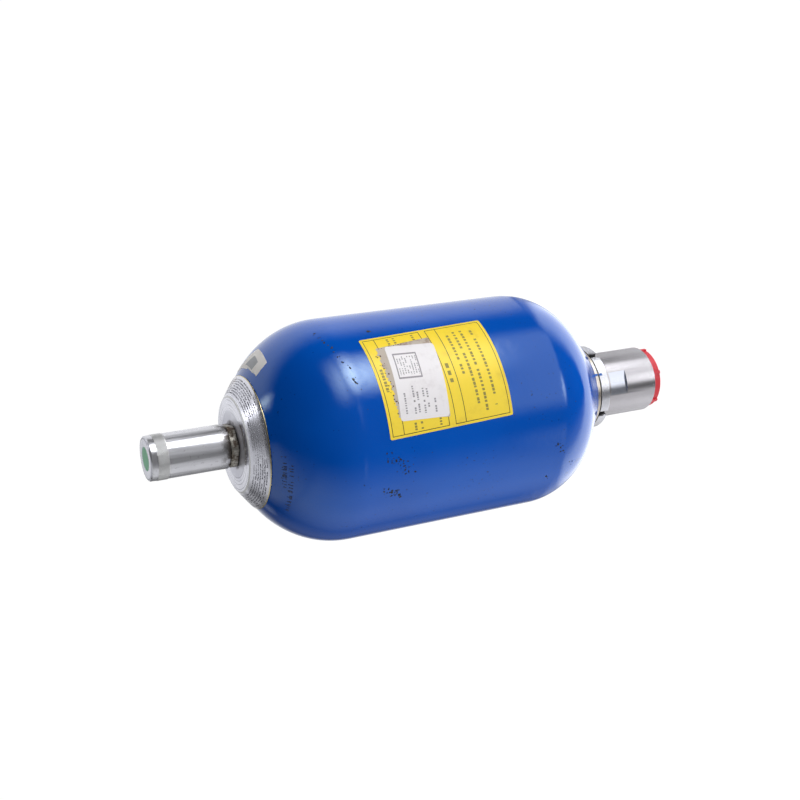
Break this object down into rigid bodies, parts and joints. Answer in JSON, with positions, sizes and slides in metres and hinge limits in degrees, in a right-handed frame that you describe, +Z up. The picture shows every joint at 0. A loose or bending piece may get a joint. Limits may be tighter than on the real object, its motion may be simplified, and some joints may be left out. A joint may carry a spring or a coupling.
{
  "type": "bladder accumulator",
  "caption": "Hydraulic bladder accumulator: round-ended steel pressure shell with a capped gas valve on top and a plugged oil port with a sprung poppet valve below.",
  "frame": {"origin": "centre of the transport plug's flat outer face, which the part stands on", "axes": "+Z up along the shell's axis, from the oil port to the gas valve; -Y faces the middle of the long label"},
  "size_m": [0.1683, 0.1682, 0.4313],
  "materials": {
    "blue_paint": "gloss",
    "turned_steel": "satin",
    "zinc_steel": "bright",
    "pressed_aluminium": "satin",
    "spring_steel": "bright",
    "brass": "satin",
    "rubber": "matte",
    "white_plastic": "matte",
    "green_plastic": "matte",
    "red_plastic": "gloss"
  },
  "bodies": {
    "vessel": {"pressure_shell": "blue_paint", "bladder": "rubber", "gas_valve_stem": "zinc_steel", "gas_stem_nut": "zinc_steel", "name_plate": "pressed_aluminium", "valve_protection_cap": "zinc_steel", "cap_colour_disc": "green_plastic", "gas_valve_insert": "brass", "gas_valve_o_ring": "rubber", "valve_seal_cap": "brass", "valve_core_guide": "brass", "valve_core_spring": "spring_steel", "oil_port_body": "turned_steel", "slotted_lock_nut": "turned_steel", "spacer_ring": "turned_steel", "support_ring": "white_plastic", "port_o_ring": "rubber", "seal_washer": "turned_steel", "anti_extrusion_ring": "rubber", "poppet_spring": "spring_steel", "transport_plug": "red_plastic"},
    "poppet": {"poppet_valve": "turned_steel", "damping_sleeve": "brass", "poppet_stem_nut": "zinc_steel"},
    "core_pin": {"valve_core_pin": "spring_steel"}
  },
  "joints": [
    {"name": "poppet_travel", "type": "slide", "parent": "vessel", "child": "poppet", "axis": [0, 0, 1], "range_m": [-0.009, 0], "stiffness_N_per_m": 1500, "springref_m": 0.01, "deforming": ["poppet_spring"]},
    {"name": "core_pin_travel", "type": "slide", "parent": "vessel", "child": "core_pin", "axis": [0, 0, 1], "range_m": [-0.0012, 0], "stiffness_N_per_m": 1000, "springref_m": 0.001, "deforming": ["valve_core_spring"]}
  ]
}
